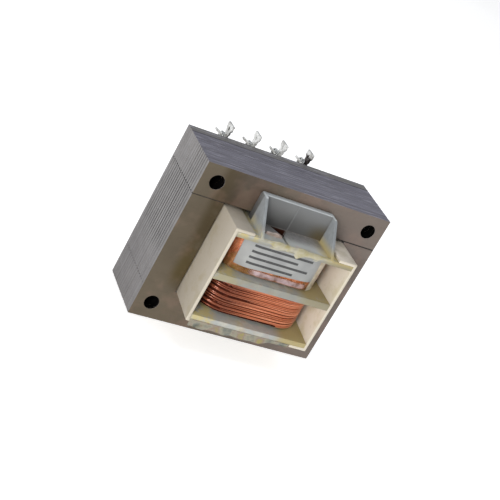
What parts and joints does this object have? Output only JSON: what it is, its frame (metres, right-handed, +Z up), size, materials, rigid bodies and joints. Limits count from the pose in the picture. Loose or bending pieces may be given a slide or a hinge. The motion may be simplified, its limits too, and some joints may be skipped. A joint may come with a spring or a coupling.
{
  "type": "laminated transformer",
  "caption": "Small open laminated mains transformer: interleaved E and I steel core, two-chamber plastic bobbin with side shrouds, copper windings and a row of solder tags.",
  "frame": {"origin": "middle of the underside of the core, which is the bottom centre of the whole part", "axes": "+X along the laminations from the end with the first solder tag to the other end, +Y through the stack from the label side to the tag side, +Z up"},
  "size_m": [0.048, 0.0356, 0.043],
  "materials": {
    "core_steel": "dull varnished silicon steel",
    "bobbin_plastic": "translucent bluish-white moulding, yellowed by varnish",
    "shroud_plastic": "cream moulding",
    "enamelled_copper": "enamelled copper wire",
    "clear_tape": "clear polyester tape",
    "label_paper": "matt printed paper",
    "tinned_metal": "tin plated",
    "varnish": "hardened clear varnish"
  },
  "bodies": {
    "root": {"e_laminations_forward": "core_steel", "i_laminations_top": "core_steel", "e_laminations_reversed": "core_steel", "i_laminations_bottom": "core_steel", "bobbin": "bobbin_plastic", "left_shroud": "shroud_plastic", "right_shroud": "shroud_plastic", "lower_winding": "enamelled_copper", "upper_winding": "enamelled_copper", "winding_tape": "clear_tape", "rating_label": "label_paper", "solder_tag_1": "tinned_metal", "solder_tag_2": "tinned_metal", "solder_tag_3": "tinned_metal", "solder_tag_4": "tinned_metal", "upper_lead_1": "enamelled_copper", "upper_lead_2": "enamelled_copper", "lower_lead_1": "enamelled_copper", "lower_lead_2": "enamelled_copper", "edge_film": "varnish"}
  },
  "joints": []
}
